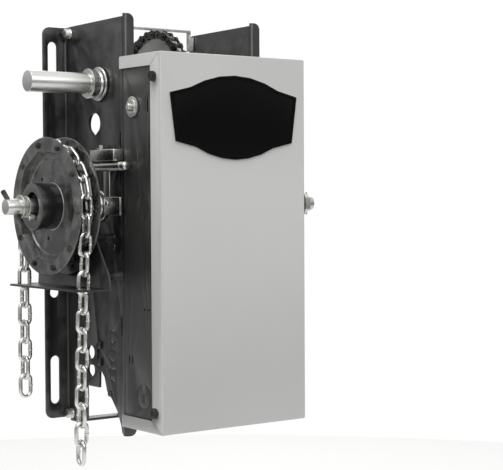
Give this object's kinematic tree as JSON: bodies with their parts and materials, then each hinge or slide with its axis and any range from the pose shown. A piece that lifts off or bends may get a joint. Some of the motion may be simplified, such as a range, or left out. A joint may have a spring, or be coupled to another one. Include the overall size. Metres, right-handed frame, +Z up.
{
  "type": "garage door opener",
  "caption": "Wall-mounted jackshaft door operator with a silver box cover, black side plates, a side output shaft and a hand-chain hoist wheel.",
  "frame": {"origin": "on the back face of the lower tie bar's wall pad, at mid-width of the cover and level with the cover's bottom edge", "axes": "+X to the right seen from the room, +Y into the wall, +Z up"},
  "size_m": [0.4636, 0.2232, 0.5341],
  "materials": {
    "black_sheet": "satin black enamel",
    "silver_sheet": "satin silver grey enamel",
    "badge": "plain glossy black",
    "zinc": "bright zinc plate",
    "shaft_steel": "ground steel",
    "chain_zinc": "bright zinc plate",
    "dark_steel": "black oxide",
    "cast_iron": "machined casting",
    "motor_paint": "semi-gloss black enamel",
    "black_plastic": "moulded",
    "belt_rubber": "matt",
    "nylon": "moulded natural nylon",
    "board": "green solder mask",
    "lining": "woven friction lining"
  },
  "bodies": {
    "chassis": {"left_side_plate": "black_sheet", "right_side_plate": "black_sheet", "upper_tie_strap": "zinc", "lower_tie_bar": "black_sheet", "motor_shelf": "black_sheet", "frame_bolt_upper": "zinc", "frame_bolt_lower": "zinc", "output_bearing_left": "zinc", "output_bearing_right": "zinc", "jackshaft_bearing_left": "zinc", "jackshaft_bearing_right": "zinc", "hoist_bracket": "black_sheet", "hoist_standoff_upper": "zinc", "hoist_standoff_lower": "zinc", "lever_bracket": "zinc", "motor_body": "motor_paint", "motor_end_bell_left": "cast_iron", "motor_end_bell_right": "cast_iron", "motor_capacitor": "black_plastic", "control_box": "black_sheet", "limit_bearing": "zinc", "limit_nut_guide": "zinc", "limit_switch_left": "black_plastic", "limit_switch_right": "black_plastic", "logic_board": "board", "transformer": "dark_steel", "drive_belt": "belt_rubber", "roller_chain": "dark_steel", "limit_chain": "dark_steel", "hand_chain": "chain_zinc"},
    "cover": {"cover": "silver_sheet", "badge_panel": "badge", "cover_screw_upper_left": "dark_steel", "cover_screw_upper_right": "dark_steel", "cover_screw_lower_left": "dark_steel", "cover_screw_lower_right": "dark_steel"},
    "output_shaft": {"output_shaft": "shaft_steel", "driven_sprocket": "zinc", "limit_drive_sprocket": "dark_steel"},
    "jackshaft": {"jackshaft": "shaft_steel", "jackshaft_sprocket": "dark_steel", "clutch_pulley": "cast_iron", "clutch_lining": "lining", "clutch_plate": "cast_iron", "clutch_spring": "dark_steel", "spring_seat": "dark_steel", "clutch_nut": "zinc", "clutch_cotter_pin": "zinc", "wheel_retaining_pin": "dark_steel"},
    "motor_rotor": {"motor_shaft": "shaft_steel", "motor_pulley": "cast_iron"},
    "limit_shaft": {"limit_shaft": "zinc", "limit_sprocket": "dark_steel"},
    "limit_nut_left": {"limit_nut_left": "nylon"},
    "limit_nut_right": {"limit_nut_right": "nylon"},
    "hoist_wheel": {"wheel_half_outer": "black_sheet", "wheel_half_inner": "black_sheet", "wheel_hub": "motor_paint"},
    "engage_lever": {"lever_rod": "zinc", "lever_arm": "zinc"}
  },
  "joints": [
    {"name": "jackshaft_turn", "type": "hinge", "parent": "chassis", "child": "jackshaft", "pos_m": [0, -0.0839, 0.263], "axis": [1, 0, 0], "continuous": true},
    {"name": "output_shaft_turn", "type": "hinge", "parent": "chassis", "child": "output_shaft", "pos_m": [0, -0.0839, 0.4106], "axis": [1, 0, 0], "continuous": true},
    {"name": "motor_turn", "type": "hinge", "parent": "chassis", "child": "motor_rotor", "pos_m": [0, -0.0839, 0.127], "axis": [1, 0, 0], "continuous": true},
    {"name": "limit_shaft_turn", "type": "hinge", "parent": "chassis", "child": "limit_shaft", "pos_m": [0, -0.1605, 0.379], "axis": [1, 0, 0], "continuous": true},
    {"name": "hoist_wheel_turn", "type": "hinge", "parent": "chassis", "child": "hoist_wheel", "pos_m": [-0.1641, -0.0839, 0.263], "axis": [1, 0, 0], "continuous": true},
    {"name": "limit_nut_left_slide", "type": "slide", "parent": "chassis", "child": "limit_nut_left", "axis": [1, 0, 0], "range_m": [-0.007, 0.008]},
    {"name": "limit_nut_right_slide", "type": "slide", "parent": "chassis", "child": "limit_nut_right", "axis": [1, 0, 0], "range_m": [-0.018, 0.03]},
    {"name": "engage_lever_swing", "type": "hinge", "parent": "chassis", "child": "engage_lever", "pos_m": [-0.11, -0.123, 0.3102], "axis": [0, 1, 0], "range_deg": [0, 10]},
    {"name": "cover_off", "type": "slide", "parent": "chassis", "child": "cover", "axis": [0, -1, 0], "range_m": [0, 0.15]}
  ],
  "couplings": [
    {"joint": "output_shaft_turn", "follows": "jackshaft_turn", "ratio": 0.375},
    {"joint": "motor_turn", "follows": "jackshaft_turn", "ratio": 2.5},
    {"joint": "limit_shaft_turn", "follows": "jackshaft_turn", "ratio": 0.375}
  ]
}
